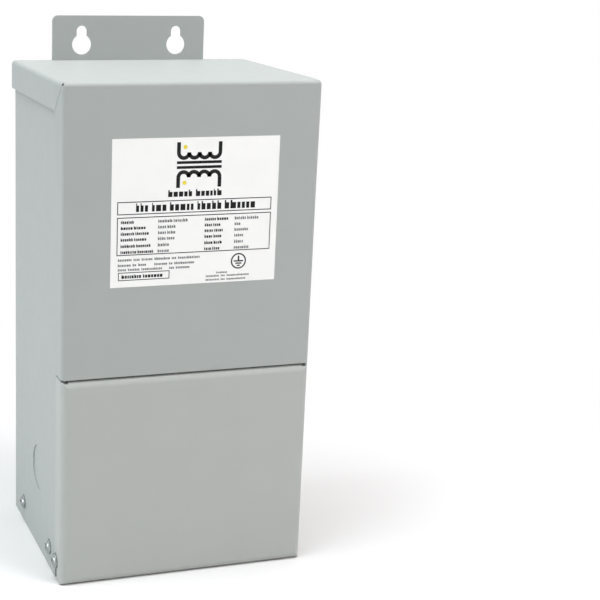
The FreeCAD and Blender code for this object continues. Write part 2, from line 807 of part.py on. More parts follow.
def make_clamp_bolts():
    shapes = []
    for column, row in bolt_spots:
        head_start = clamp_front - at.bolt_head_rise
        head = hexagon_bar(column, row, head_start, clamp_front, at.bolt_head_width)
        shapes.append(head.fuse(rod(column, row, clamp_front, bolt_end, at.clamp_bolt)))
    return make_solids_group("clamp_bolts", shapes)


def make_clamp_nuts():
    shapes = []
    nut_end = clamp_back + at.nut_rise
    bore = at.clamp_bolt + at.nut_clearance * 2
    for column, row in bolt_spots:
        nut = hexagon_bar(column, row, clamp_back, nut_end, at.bolt_head_width)
        shapes.append(nut.cut(rod(column, row, clamp_back, nut_end, bore)))
    return make_solids_group("clamp_nuts", shapes)


# Pan head screws of the enclosure, set in its sides with their heads outwards.
def pan_head_screw(depth, up, side, lift):
    """A turned screw: domed head, short straight edge and plain shank pointing inwards."""
    radius = at.screw_head.value / 2
    edge = at.head_edge.value
    rise = at.head_rise.value
    shank = at.screw_shank.value / 2
    tip = -(at.screw_length + lift).value
    dome_radius = ((rise - edge) ** 2 + radius ** 2) / (2 * (rise - edge))
    half_way = radius / 2
    dome_place = rise - dome_radius + math.sqrt(dome_radius ** 2 - half_way ** 2)
    rim = FreeCAD.Vector(edge, radius, 0)
    crown = FreeCAD.Vector(rise, 0, 0)
    straight = [(rise, 0), (tip, 0), (tip, shank), (0, shank), (0, radius), (edge, radius)]
    corners = [FreeCAD.Vector(along, out, 0) for along, out in straight]
    dome = Part.Arc(rim, FreeCAD.Vector(dome_place, half_way, 0), crown).toShape()
    profile = Part.Face(Part.Wire(Part.makePolygon(corners).Edges + [dome]))
    screw = profile.revolve(FreeCAD.Vector(0, 0, 0), FreeCAD.Vector(1, 0, 0), 360)
    if side < 0:
        screw.rotate(FreeCAD.Vector(0, 0, 0), FreeCAD.Vector(0, 0, 1), 180)
    seat = (half_width + lift).value * side
    screw.translate(FreeCAD.Vector(seat, depth.value, up.value))
    return screw


def make_floor_screws():
    return make_solids_group(
        "floor_screws",
        [
            pan_head_screw(depth, at.floor_screw_height, side, as_size(0))
            for side in BOTH_SIDES
            for depth in floor_screw_places
        ],
    )


def make_cover_screws():
    return make_solids_group(
        "cover_screws",
        [
            pan_head_screw(cover_screw_place, at.cover_screw_height, side, at.head_lift)
            for side in BOTH_SIDES
        ],
    )


# Terminal block: a moulded base with barriers, screwed to a hat shaped bracket on the back wall.
POLES = 8
bracket_front = back_inside - at.bracket_stand
block_front = bracket_front - at.block_depth
plate_front = block_front - at.plate_thickness
lug_front = plate_front - at.lug_thickness
bracket_length = (wall_inside - at.bracket_room) * 2
block_length = bracket_length - at.block_inset * 2
terminal_pitch = (block_length - at.block_end * 2) / POLES
plate_width = terminal_pitch - at.barrier_width - at.plate_gap * 2
pole_columns = [(pole - (POLES - 1) / 2) * terminal_pitch for pole in range(POLES)]
barrier_columns = [(number - POLES / 2) * terminal_pitch for number in range(POLES + 1)]
upper_row = at.terminal_height + at.terminal_row
lower_row = at.terminal_height - at.terminal_row
terminal_bore = at.terminal_screw + at.terminal_clearance
block_screw_columns = [side * (block_length / 2 - at.block_screw_inset) for side in BOTH_SIDES]
block_screw_spots = [(column, at.terminal_height) for column in block_screw_columns]


def make_terminal_bracket():
    body = new_body("terminal_bracket")
    face_low = at.terminal_height - at.bracket_face / 2
    face_high = at.terminal_height + at.bracket_face / 2
    foot_low = face_low - at.bracket_foot
    foot_high = face_high + at.bracket_foot
    foot_front = back_inside - at.sheet
    section = [(back_inside, foot_low), (back_inside, face_low + at.sheet)]
    section += [(bracket_front + at.sheet, face_low + at.sheet)]
    section += [(bracket_front + at.sheet, face_high - at.sheet)]
    section += [(back_inside, face_high - at.sheet), (back_inside, foot_high)]
    section += [(foot_front, foot_high), (foot_front, face_high), (bracket_front, face_high)]
    section += [(bracket_front, face_low), (foot_front, face_low), (foot_front, foot_low)]
    half_length = bracket_length / 2
    extrude(body, "YZ_Plane", "hat_section", -half_length, half_length, outlines=[section])
    holes = [(spot, terminal_bore) for spot in block_screw_spots]
    span = (bracket_front - at.cut_past, bracket_front + at.sheet + at.cut_past)
    extrude(body, "XZ_Plane", "screw_holes", *span, circles=holes, cut=True)
    return body


def make_terminal_base():
    body = new_body("terminal_base")
    low = at.terminal_height - at.block_height / 2
    high = at.terminal_height + at.block_height / 2
    half_length = block_length / 2
    block = box_outline(-half_length, half_length, low, high)
    extrude(body, "XZ_Plane", "block", block_front, bracket_front, outlines=[block])
    half_barrier = at.barrier_width / 2
    barriers = [
        box_outline(column - half_barrier, column + half_barrier, low, high)
        for column in barrier_columns
    ]
    span = (block_front - at.barrier_rise, block_front)
    extrude(body, "XZ_Plane", "barriers", *span, outlines=barriers)
    holes = [(spot, terminal_bore) for spot in block_screw_spots]
    span = (block_front - at.cut_past, bracket_front + at.cut_past)
    extrude(body, "XZ_Plane", "mounting_holes", *span, circles=holes, cut=True)
    rows = (lower_row, upper_row)
    holes = [((column, row), terminal_bore) for column in pole_columns for row in rows]
    span = (block_front - at.cut_past, block_front + at.terminal_screw_length)
    extrude(body, "XZ_Plane", "terminal_holes", *span, circles=holes, cut=True)
    return body


def make_terminal_plates():
    shapes = []
    low = at.terminal_height - at.plate_height / 2
    high = at.terminal_height + at.plate_height / 2
    for column in pole_columns:
        left, right = column - plate_width / 2, column + plate_width / 2
        shape = plate(left, right, plate_front, block_front, low, high)
        for row in (lower_row, upper_row):
            span = (plate_front - at.cut_past, block_front + at.cut_past)
            shape = shape.cut(rod(column, row, *span, terminal_bore))
        shapes.append(shape)
    return make_solids_group("terminal_plates", shapes)


def headed_screw(column, row, seat, tip, head):
    """A cheese head screw along Y with the underside of its head on the seat."""
    head_shape = rod(column, row, seat - at.terminal_head_rise, seat, head)
    return head_shape.fuse(rod(column, row, seat, tip, at.terminal_screw))


def make_terminal_screws():
    tip = lug_front + at.terminal_screw_length
    return make_solids_group(
        "terminal_screws",
        [
            headed_screw(column, row, lug_front, tip, at.terminal_head)
            for column in pole_columns
            for row in (lower_row, upper_row)
        ],
    )


def make_block_screws():
    tip = bracket_front + at.sheet + at.screw_tail
    return make_solids_group(
        "block_screws",
        [
            headed_screw(column, row, block_front, tip, at.block_screw_head)
            for column, row in block_screw_spots
        ],
    )


def make_clamp_washers():
    shapes = []
    half = at.terminal_head / 2 + at.washer_lip
    for column in pole_columns:
        places = (column - half, column + half, lug_front, plate_front)
        washer = plate(*places, lower_row - half, lower_row + half)
        hole = rod(column, lower_row, lug_front - at.cut_past, plate_front + at.cut_past, terminal_bore)
        shapes.append(washer.cut(hole))
    return make_solids_group("clamp_washers", shapes)


# Leads: insulated wires from the coil down to ring lugs under the upper terminal screws.
WORDS = ("one", "two", "three", "four")
LEADS = [(f"primary_lead_{word}", at.primary_lead) for word in WORDS]
LEADS += [(f"secondary_lead_{word}", at.secondary_lead) for word in WORDS]
lead_exits = [(pole - (POLES - 1) / 2) * at.lead_pitch for pole in range(POLES)]
barrel_bottom = upper_row + at.barrel_rise
barrel_top = barrel_bottom + at.barrel_length
socket_bottom = barrel_top - at.barrel_depth


def barrel_size(lead):
    return lead + (at.barrel_clearance + at.barrel_wall) * 2


def make_lead_lugs():
    """Crimped ring lugs: a ring under the screw, a tongue and a barrel around the lead."""
    shapes = []
    up = FreeCAD.Vector(0, 0, 1)
    for column, (name, lead) in zip(pole_columns, LEADS):
        outer = barrel_size(lead)
        ring_width = at.terminal_head + at.lug_lip * 2
        ring = rod(column, upper_row, lug_front, plate_front, ring_width)
        left, right = column - outer / 2, column + outer / 2
        tongue_top = barrel_bottom + at.lug_thickness
        tongue = plate(left, right, lug_front, plate_front, upper_row, tongue_top)
        depth = plate_front - outer / 2
        base = FreeCAD.Vector(column.value, depth.value, barrel_bottom.value)
        barrel = Part.makeCylinder(outer.value / 2, at.barrel_length.value, base, up)
        socket = FreeCAD.Vector(column.value, depth.value, socket_bottom.value)
        bore = (lead / 2 + at.barrel_clearance).value
        hollow = Part.makeCylinder(bore, at.barrel_length.value, socket, up)
        hole = rod(column, upper_row, lug_front - at.cut_past, plate_front + at.cut_past, terminal_bore)
        shapes.append(ring.fuse([tongue, barrel]).cut([hollow, hole]).removeSplitter())
    return make_solids_group("lead_lugs", shapes)


ARC_SHARE = 0.45


def tangent_path(points):
    """Straight runs joined by tangent arcs that take a share of the shorter run."""
    edges = []
    radii = []
    start = points[0]
    for before, corner, after in zip(points, points[1:], points[2:]):
        into = (corner - before).normalize()
        away = (after - corner).normalize()
        half_turn = into.getAngle(away) / 2
        trim = ARC_SHARE * min((corner - before).Length, (after - corner).Length)
        radius = trim / math.tan(half_turn)
        inward = (away - into).normalize()
        arc_middle = corner + inward * (radius / math.cos(half_turn) - radius)
        arc_start = corner - into * trim
        arc_end = corner + away * trim
        edges.append(Part.LineSegment(start, arc_start).toShape())
        edges.append(Part.Arc(arc_start, arc_middle, arc_end).toShape())
        radii.append(radius)
        start = arc_end
    edges.append(Part.LineSegment(start, points[-1]).toShape())
    return Part.Wire(edges), radii


# A lead turns twice between its lug and the compound, at these shares of its free height.
LOW_TURN = 0.25
HIGH_TURN = 0.85


def make_lead(name, lead, column, lead_exit):
    """One lead: up from its lug, back to the compound, and up behind the coil."""
    lug_depth = plate_front - barrel_size(lead) / 2
    coil_depth = coil_back + at.lead_gap + lead / 2
    free_height = fill_bottom - barrel_top
    stops = [
        (column, lug_depth, socket_bottom),
        (column, lug_depth, barrel_top + free_height * LOW_TURN),
        (lead_exit, coil_depth, barrel_top + free_height * HIGH_TURN),
        (lead_exit, coil_depth, coil_bottom + at.lead_reach),
    ]
    points = [FreeCAD.Vector(*(place.value for place in stop)) for stop in stops]
    path, radii = tangent_path(points)
    radius = lead.value / 2
    section = Part.Wire(Part.makeCircle(radius, points[0], points[1] - points[0]))
    solid = path.makePipeShell([section], True, False)
    expected = math.pi * radius ** 2 * path.Length
    if abs(solid.Volume - expected) > 0.005 * expected:
        raise RuntimeError(f"{name} is not a full tube")
    print(name, "bend radii", [round(size, 1) for size in radii])
    shape = doc.addObject("Part::Feature", name)
    shape.Label = name
    shape.Shape = solid
    return shape


# Grounding stud on the back wall of the wiring compartment, with a washer and a nut.
ground_seat = back_inside - at.ground_washer_thickness
ground_nut_end = ground_seat - at.ground_nut_rise
ground_bore = at.ground_stud + at.nut_clearance * 2
ground_place = (at.ground_offset, at.ground_height)


def make_ground_stud():
    body = new_body("ground_stud")
    span = (back_inside - at.ground_length, back_inside)
    stud = [(ground_place, at.ground_stud)]
    extrude(body, "XZ_Plane", "stud", *span, circles=stud)
    return body


def make_ground_washer():
    body = new_body("ground_washer")
    disc = [(ground_place, at.ground_washer)]
    hole = [(ground_place, ground_bore)]
    extrude(body, "XZ_Plane", "disc", ground_seat, back_inside, circles=disc)
    extrude(body, "XZ_Plane", "hole", ground_seat - at.cut_past, back, circles=hole, cut=True)
    return body


def make_ground_nut():
    across, up = ground_place
    nut = hexagon_bar(across, up, ground_nut_end, ground_seat, at.ground_across)
    hole = rod(across, up, ground_nut_end - at.cut_past, ground_seat + at.cut_past, ground_bore)
    return make_solids_group("ground_nut", [nut.cut(hole)])


# Casting compound: fills the upper part of the case around the core, the coil and the leads.
def make_compound_block():
    body = new_body("compound_block")
    inside_front = front + at.sheet
    section = [(lip_inside, inside_front), (lip_inside, inner_joggle_start)]
    section += [(wall_inside, inner_joggle_end), (wall_inside, back_inside)]
    section += [(-wall_inside, back_inside), (-wall_inside, inner_joggle_end)]
    section += [(-lip_inside, inner_joggle_start), (-lip_inside, inside_front)]
    extrude(body, "XY_Plane", "block", fill_bottom, top_inside, outlines=[section])
    corners = [{"x": side * wall_inside, "y": back_inside} for side in BOTH_SIDES]
    corners.append({"y": inside_front, "z": top_inside})
    round_edges(body, "corners", inner_bend + at.panel_gap, *corners)
    return body


def make_casting_space():
    """The room that the coil and the clamp bolts take up in the compound."""
    body = new_body("casting_space")
    body.AllowCompound = True
    coil = ring_outline(coil_reach)
    extrude(body, "XY_Plane", "coil_space", coil_bottom, coil_top, outlines=[coil])
    bolts = [(spot, bolt_bore) for spot in bolt_spots]
    nut_end = clamp_back + at.nut_rise
    extrude(body, "XZ_Plane", "bolt_spaces", clamp_front, nut_end, circles=bolts)
    return body


def make_potting_compound(embedded):
    inserts = doc.addObject("Part::MultiFuse", "casting_inserts")
    inserts.Shapes = [make_casting_space()] + embedded
    compound = doc.addObject("Part::Cut", "potting_compound")
    compound.Label = "potting_compound"
    compound.Base = make_compound_block()
    compound.Tool = inserts
    doc.recompute()
    return compound


subparts = [make_case_wrapper(), make_hood(), make_wiring_cover(), make_floor_tray()]
subparts += [make_rating_label(), make_floor_screws(), make_cover_screws()]

core = [make_core_leg_stack(), make_core_yoke_stack()]
clamps = [
    make_core_clamp("lower_clamp_front", core_front, -1, core_bottom, 1, lower_bolt_row),
    make_core_clamp("lower_clamp_back", core_back, 1, core_bottom, 1, lower_bolt_row),
    make_core_clamp("upper_clamp_front", core_front, -1, core_top, -1, upper_bolt_row),
    make_core_clamp("upper_clamp_back", core_back, 1, core_top, -1, upper_bolt_row),
    make_clamp_bolts(),
    make_clamp_nuts(),
]
leads = [
    make_lead(name, lead, column, lead_exit)
    for (name, lead), column, lead_exit in zip(LEADS, pole_columns, lead_exits)
]
subparts += core + clamps + leads
subparts.append(make_potting_compound(core + clamps + leads))
subparts.append(make_coil_tube())
for (layer, build), inner, outer in zip(LAYERS, layer_reaches, layer_reaches[1:]):
    subparts.append(make_coil_layer(layer, inner, outer))

subparts += [make_terminal_bracket(), make_terminal_base(), make_terminal_plates()]
subparts += [make_terminal_screws(), make_block_screws(), make_clamp_washers()]
subparts += [make_lead_lugs(), make_ground_stud(), make_ground_washer(), make_ground_nut()]
doc.recompute()

for item in doc.Objects:
    if "Invalid" in item.State or "Error" in item.State:
        raise RuntimeError(f"{item.Name} did not compute")
for item in subparts:
    if item.Shape.isNull() or not item.Shape.isValid() or not item.Shape.Solids:
        raise RuntimeError(f"{item.Label} has no valid shape")

os.makedirs("parts", exist_ok=True)
for item in subparts:
    item.Shape.exportStep(f"parts/{item.Label}.step")
print(len(subparts), "sub-parts written")
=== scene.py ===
import math
import random

import bmesh
import bpy
from mathutils import Matrix, Vector


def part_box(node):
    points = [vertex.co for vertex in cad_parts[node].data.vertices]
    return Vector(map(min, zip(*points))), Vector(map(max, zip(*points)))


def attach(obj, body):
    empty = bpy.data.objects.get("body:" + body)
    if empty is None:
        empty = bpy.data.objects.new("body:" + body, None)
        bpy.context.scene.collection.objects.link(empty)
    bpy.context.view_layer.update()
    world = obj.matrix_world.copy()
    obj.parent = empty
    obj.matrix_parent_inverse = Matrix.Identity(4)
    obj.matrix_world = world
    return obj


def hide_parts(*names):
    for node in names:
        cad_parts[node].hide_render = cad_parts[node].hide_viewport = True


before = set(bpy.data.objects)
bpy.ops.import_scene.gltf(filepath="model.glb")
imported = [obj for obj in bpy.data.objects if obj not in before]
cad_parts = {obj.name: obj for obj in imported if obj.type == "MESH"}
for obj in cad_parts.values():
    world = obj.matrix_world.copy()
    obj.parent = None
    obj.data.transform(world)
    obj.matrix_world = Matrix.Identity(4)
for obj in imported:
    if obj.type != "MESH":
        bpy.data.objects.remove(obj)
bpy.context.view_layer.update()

# ---------------------------------------------------------------------------
# Enclosure: folded steel sheet with a satin powder coat, greenish grey.
# The hood and the wrapper close the potted part, the cover the wiring compartment, and the floor
# tray is screwed in below. Baked powder leaves a fine orange peel and a slight unevenness in gloss.


def srgb(red, green, blue):
    """A colour given as three 8 bit screen values, in the linear numbers that shaders take."""
    parts = [value / 255 for value in (red, green, blue)]
    return [part / 12.92 if part < 0.04045 else ((part + 0.055) / 1.055) ** 2.4 for part in parts]


def add_node(tree, kind, inputs=None, **settings):
    """A node in a tree; an input's value is a number, a colour or a socket to link from."""
    node = tree.nodes.new(kind)
    for name, value in settings.items():
        setattr(node, name, value)
    for name, value in (inputs or {}).items():
        if isinstance(value, bpy.types.NodeSocket):
            tree.links.new(value, node.inputs[name])
        else:
            node.inputs[name].default_value = value
    return node


def new_material(name, sockets=None):
    """A material with one Principled shader, whose even values stand on its own sockets."""
    material = bpy.data.materials.new(name)
    material.use_nodes = True
    tree = material.node_tree
    tree.nodes.clear()
    shader = add_node(tree, "ShaderNodeBsdfPrincipled", sockets)
    add_node(tree, "ShaderNodeOutputMaterial", {"Surface": shader.outputs["BSDF"]})
    place = add_node(tree, "ShaderNodeTexCoord").outputs["Object"]
    return material, tree, shader, place


def add_noise(tree, place, scale, detail=2.0, stretch=(1, 1, 1)):
    """Noise of a given number of cells to the metre, drawn out along an axis by the stretch."""
    if stretch != (1, 1, 1):
        place = add_node(tree, "ShaderNodeMapping", {"Vector": place, "Scale": stretch}).outputs[0]
    settings = {"Vector": place, "Scale": scale, "Detail": detail, "Roughness": 0.55}
    return add_node(tree, "ShaderNodeTexNoise", settings).outputs["Fac"]


def add_shades(tree, shader, amount, low, high, spread=(0.3, 0.7)):
    """Colours the shader between two shades by an amount."""
    ramp = add_node(tree, "ShaderNodeValToRGB", {"Fac": amount})
    for element, spot, shade in zip(ramp.color_ramp.elements, spread, (low, high)):
        element.position = spot
        element.color = (*shade, 1)
    tree.links.new(ramp.outputs["Color"], shader.inputs["Base Color"])
    return ramp


def add_range(tree, socket, amount, low, high):
    """Drives a shader socket between two values by an amount that runs from 0.3 to 0.7."""
    limits = {"Value": amount, "From Min": 0.3, "From Max": 0.7, "To Min": low, "To Max": high}
    tree.links.new(add_node(tree, "ShaderNodeMapRange", limits).outputs["Result"], socket)


def add_bump(tree, shader, height, depth, strength=1.0, under=None):
    """Bump of a given depth in metres on the shader's normal."""
    settings = {"Height": height, "Distance": depth, "Strength": strength}
    if under is not None:
        settings["Normal"] = under
    bump = add_node(tree, "ShaderNodeBump", settings)
    tree.links.new(bump.outputs["Normal"], shader.inputs["Normal"])
    return bump.outputs["Normal"]


def dress(names, material):
    """Gives CAD nodes their finish."""
    for name in names:
        for material_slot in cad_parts[name].material_slots:
            material_slot.material = material


for name, coat, panels in (
    ("satin_powder_coat", srgb(173, 178, 176), ("hood", "case_wrapper", "floor_tray")),
    # The cover's coat is a lighter copy of the same powder. Its tone is partly its own warmer shade
    # and partly painted light, standing in for the brighter light low on the front.
    ("cover_coat_painted_lighter", srgb(180, 184, 181), ("wiring_cover",)),
):
    powder, tree, shader, place = new_material(name, {"IOR": 1.5, "Specular IOR Level": 0.16})
    shades = [[tone * amount for tone in coat] for amount in (0.99, 1.01)]
    add_shades(tree, shader, add_noise(tree, place, 45, 3), *shades)
    add_range(tree, shader.inputs["Roughness"], add_noise(tree, place, 130, 3), 0.52, 0.6)
    waves = add_bump(tree, shader, add_noise(tree, place, 260, 1), 0.00003, 0.5)
    add_bump(tree, shader, add_noise(tree, place, 1100, 2), 0.00004, 0.6, waves)
    dress(panels, powder)

# ---------------------------------------------------------------------------
# Rating label: printed polyester film glued to the hood's front panel.
# Its fields are ruled in black, and rows of plain printed blocks stand in place of words.
# The winding symbol and the earth symbol are the general ones of electrical drawings.
LABEL_LOW, LABEL_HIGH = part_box("rating_label")
LABEL_WIDTH = 0.1
LABEL_HEIGHT = 0.085
FILM_DEPTH = 0.00011
INK_DEPTH = 0.00003
LABEL_CORNER = 0.0002

sockets = {"IOR": 1.5, "Coat Weight": 0.25, "Coat Roughness": 0.2}
film_white, tree, shader, place = new_material("label_film_white", sockets)
add_shades(tree, shader, add_noise(tree, place, 70, 3), srgb(250, 251, 250), srgb(253, 254, 252))
add_range(tree, shader.inputs["Roughness"], add_noise(tree, place, 300, 2), 0.3, 0.42)
add_bump(tree, shader, add_noise(tree, place, 500, 2), 0.00002, 0.4)

sockets = {"IOR": 1.5, "Specular IOR Level": 0.2}
label_ink, tree, shader, place = new_material("label_black_ink", sockets)
add_shades(tree, shader, add_noise(tree, place, 900, 3), srgb(14, 14, 15), srgb(26, 26, 28))
add_range(tree, shader.inputs["Roughness"], add_noise(tree, place, 400, 2), 0.35, 0.5)

fine_ink, tree, shader, place = new_material("label_fine_ink", {"IOR": 1.5})
add_shades(tree, shader, add_noise(tree, place, 900, 3), srgb(96, 98, 100), srgb(122, 124, 126))
add_range(tree, shader.inputs["Roughness"], add_noise(tree, place, 400, 2), 0.35, 0.5)

label_yellow, tree, shader, place = new_material("label_yellow_ink", {"IOR": 1.5})
add_shades(tree, shader, add_noise(tree, place, 900, 3), srgb(232, 212, 40), srgb(240, 222, 60))
add_range(tree, shader.inputs["Roughness"], add_noise(tree, place, 400, 2), 0.35, 0.5)

# Label coordinates: u to the right from the left edge, v down from the top edge, w out of the film.
ON_LABEL = Matrix(
    (
        (1, 0, 0, LABEL_LOW.x),
        (0, 0, -1, LABEL_HIGH.y - FILM_DEPTH),
        (0, 1, 0, LABEL_HIGH.z),
        (0, 0, 0, 1),
    )
)


def add_piece(name, mesh, material=None):
    """A mesh put in the scene as an object at the origin."""
    piece = bpy.data.objects.new(name, mesh)
    bpy.context.scene.collection.objects.link(piece)
    if material is not None:
        mesh.materials.append(material)
    return piece


# The film is a plate whose four corners are rounded in a few short steps.
CORNER_STEPS = 6
outline = []
for across, down, turn in ((1, 0, 0), (0, 0, 1), (0, 1, 2), (1, 1, 3)):
    centre_u = across * LABEL_WIDTH + (1 - 2 * across) * LABEL_CORNER
    centre_v = -(down * LABEL_HEIGHT + (1 - 2 * down) * LABEL_CORNER)
    for step in range(CORNER_STEPS + 1):
        angle = (turn + step / CORNER_STEPS) * math.pi / 2
        u = centre_u + LABEL_CORNER * math.cos(angle)
        v = centre_v + LABEL_CORNER * math.sin(angle)
        outline.append((u, v))
form = bmesh.new()
rings = [[form.verts.new((u, v, height)) for u, v in outline] for height in (-FILM_DEPTH, 0)]
form.faces.new(rings[1])
form.faces.new(list(reversed(rings[0])))
for index in range(len(outline)):
    following = (index + 1) % len(outline)
    corners = (rings[0][index], rings[0][following], rings[1][following], rings[1][index])
    form.faces.new(corners)
film_mesh = bpy.data.meshes.new("label_film")
form.to_mesh(film_mesh)
form.free()
film_mesh.transform(ON_LABEL)
label_film = add_piece("label_film", film_mesh, film_white)
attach(label_film, "case")
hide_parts("rating_label")


def new_layout(name, sizes):
    """An empty Geometry Nodes tree with a mesh input and named inputs for its sizes."""
    tree = bpy.data.node_groups.new(name, "GeometryNodeTree")
    tree.interface.new_socket("Places", in_out="INPUT", socket_type="NodeSocketGeometry")
    for size in sizes:
        tree.interface.new_socket(size, in_out="INPUT", socket_type="NodeSocketFloat")
    tree.interface.new_socket("Finish", in_out="INPUT", socket_type="NodeSocketMaterial")
    tree.interface.new_socket("Pieces", in_out="OUTPUT", socket_type="NodeSocketGeometry")
    return tree, add_node(tree, "NodeGroupInput")


def end_layout(tree, given, shape, **placing):
    """Sets the shape on each place, and ends the tree in plain mesh with its material."""
    settings = {"Points": given.outputs["Places"], "Instance": shape, **placing}
    spread = add_node(tree, "GeometryNodeInstanceOnPoints", settings)
    whole = add_node(tree, "GeometryNodeRealizeInstances", {"Geometry": spread.outputs[0]})
    finish = {"Geometry": whole.outputs[0], "Material": given.outputs["Finish"]}
    done = add_node(tree, "GeometryNodeSetMaterial", finish)
    add_node(tree, "NodeGroupOutput", {"Pieces": done.outputs[0]})


def grow(name, tree, places, vectors, values):
    """Runs a layout over a list of places and keeps the result as a plain mesh."""
    mesh = bpy.data.meshes.new(name + "_places")
    mesh.from_pydata(places, [], [])
    for attribute, rows in vectors.items():
        layer = mesh.attributes.new(attribute, "FLOAT_VECTOR", "POINT")
        layer.data.foreach_set("vector", [number for row in rows for number in row])
    piece = add_piece(name, mesh)
    modifier = piece.modifiers.new("layout", "NODES")
    modifier.node_group = tree
    for item in tree.interface.items_tree:
        if item.name in values:
            modifier[item.identifier] = values[item.name]
    depsgraph = bpy.context.evaluated_depsgraph_get()
    made = bpy.data.meshes.new_from_object(piece.evaluated_get(depsgraph))
    piece.modifiers.remove(modifier)
    piece.data = made
    return piece


def vector_of(tree, name):
    """The vector that a named attribute holds at each place."""
    settings = {"data_type": "FLOAT_VECTOR"}
    return add_node(tree, "GeometryNodeInputNamedAttribute", {"Name": name}, **settings).outputs[0]


mark_layout, given = new_layout("printed_marks", ["Ink depth"])
sides = {"X": 1, "Y": 1, "Z": given.outputs["Ink depth"]}
depth = add_node(mark_layout, "ShaderNodeCombineXYZ", sides)
block = add_node(mark_layout, "GeometryNodeMeshCube", {"Size": depth.outputs[0]})
end_layout(mark_layout, given, block.outputs[0], Scale=vector_of(mark_layout, "size"))

# Black and grey marks, each as middle u, middle v, width and height in millimetres.
BOLD, FINE = [], []
print_order = random.Random(11)


def rule_line(left, top, right, bottom, marks=BOLD):
    """A printed bar between two corners, in millimetres on the label."""
    marks.append(((left + right) / 2, (top + bottom) / 2, right - left, bottom - top))


def rule_box(left, top, right, bottom, line):
    """A frame of four bars that meet without lapping."""
    rule_line(left, top, right, top + line)
    rule_line(left, bottom - line, right, bottom)
    rule_line(left, top + line, left + line, bottom - line)
    rule_line(right - line, top + line, right, bottom - line)


# Shares of the letters' height, and how often a block inside a word has a nub.
BLOCK_WIDTHS = (0.36, 0.52, 0.52, 0.66)
BLOCK_GAP = 0.17
BLOCK_TOP = 0.24
NUB_CHANCE = 0.22


def print_word(left, right, middle, height, marks=BOLD):
    """Solid blocks as tall as small letters fill a word's place, and a few have a nub on top."""
    gap = height * BLOCK_GAP
    widths = []
    while sum(widths) + gap * len(widths) < right - left:
        widths.append(height * print_order.choice(BLOCK_WIDTHS))
    fitted = (right - left + gap) / (sum(widths) + gap * len(widths))
    top, bottom = middle - height * BLOCK_TOP, middle + height / 2
    start = left
    for number, width in enumerate(widths):
        end = start + (width + gap) * fitted - gap
        rule_line(start, top, end, bottom, marks)
        if number == 0 or print_order.random() < NUB_CHANCE:
            rule_line(start, middle - height / 2, (start * 2 + end) / 3, top, marks)
        start = end + gap


def print_words(spans, middle, height, marks=BOLD):
    """A line of words, each between its own left and right end."""
    for left, right in spans:
        print_word(left, right, middle, height, marks)


# The heading, the boxed title and the boxed table with bold names and fine values.
RULE = 0.5
print_words(((33.3, 47.5), (49.8, 65.3)), 31.7, 3.9)
rule_box(3.5, 35.6, 96.2, 43.05, RULE)
print_words(((14.5, 21.5), (23.9, 32.4), (34.5, 48.6), (51.0, 65.4), (67.5, 86.1)), 39.1, 4.9)
rule_box(3.5, 44.5, 96.2, 66.5, RULE)
TABLE_LETTERS = 1.9
TWO_WORDS_FROM = 9
TABLE_ROWS = (47.2, 50.6, 53.9, 57.3, 61.0, 64.5)
TABLE_COLUMNS = (
    (5.8, (13.3, 20.3, 22.2, 20.8, 23.4, 25.1), BOLD),
    (27.8, (45.3, 38.1, 38.0, 37.6, 34.4, 34.4), FINE),
    (55.8, (69.9, 65.2, 66.8, 66.0, 66.4, 65.0), BOLD),
    (74.0, (88.5, 77.5, 82.3, 79.5, 79.5, 83.0), FINE),
)
for start, ends, marks in TABLE_COLUMNS:
    for row, end in zip(TABLE_ROWS, ends):
        middle = (start + end) / 2
        spans = ((start, end),)
        if end - start > TWO_WORDS_FROM:
            spans = ((start, middle - 0.4), (middle + 0.4, end))
        print_words(spans, row, TABLE_LETTERS, marks)

# Fine lines under the table at the left, a small box below them, and finer lines at the right.
LEFT_LETTERS, RIGHT_LETTERS = 1.6, 1.3
for middle, spans in (
    (69.0, ((4.4, 12.4), (13.6, 17.2), (18.4, 24.8), (26.0, 35.2), (36.4, 39.0), (40.2, 53.2))),
    (72.1, ((4.4, 11.9), (13.1, 15.2), (16.4, 21.0), (26.0, 33.6), (34.8, 36.8), (38.0, 50.0))),
    (74.7, ((4.4, 9.2), (10.4, 17.2), (18.4, 30.6), (35.0, 37.8), (39.0, 47.2))),
):
    print_words(spans, middle, LEFT_LETTERS, FINE)
rule_box(4.6, 76.3, 35.2, 81.1, 0.45)
print_words(((6.7, 18.2), (19.4, 31.0)), 78.7, 2.3)
for middle, spans in (
    (79.0, ((63.8, 70.3),)),
    (80.9, ((57.4, 65.4), (66.6, 69.0), (70.2, 83.9))),
    (83.1, ((57.4, 65.4), (66.6, 69.0), (70.2, 81.8))),
):
    print_words(spans, middle, RIGHT_LETTERS, FINE)

# Earth symbol: a stem on three bars that grow shorter, inside a plain ring.
EARTH_U, EARTH_V = 77.2, 72.8
EARTH_BAR = 0.8
rule_line(EARTH_U - 0.45, EARTH_V - 3.1, EARTH_U + 0.45, EARTH_V - 0.2)
for half, top in ((2.9, -0.4), (1.9, 0.95), (0.9, 2.3)):
    rule_line(EARTH_U - half, EARTH_V + top, EARTH_U + half, EARTH_V + top + EARTH_BAR)

# Winding symbol: two rows of half loops with two core lines between them, and a lead up or down
# from each row's ends.
SYMBOL_U, SYMBOL_V = 51.4, 15.6
LOOP_COUNT = 4
LOOP_RADIUS = 3.1
LOOP_ROW = 7.1
LOOP_LINE = 2.2
LEAD_END = 13.0
CORE_HALF = 13.4
for near, far in ((-2.2, -0.6), (0.6, 2.2)):
    rule_line(SYMBOL_U - CORE_HALF, SYMBOL_V + near, SYMBOL_U + CORE_HALF, SYMBOL_V + far)
for side in (-1, 1):
    for row in (-1, 1):
        edge = SYMBOL_U + side * LOOP_COUNT * LOOP_RADIUS
        near, far = sorted((SYMBOL_V + row * LOOP_ROW, SYMBOL_V + row * LEAD_END))
        rule_line(edge - LOOP_LINE / 2, near, edge + LOOP_LINE / 2, far)

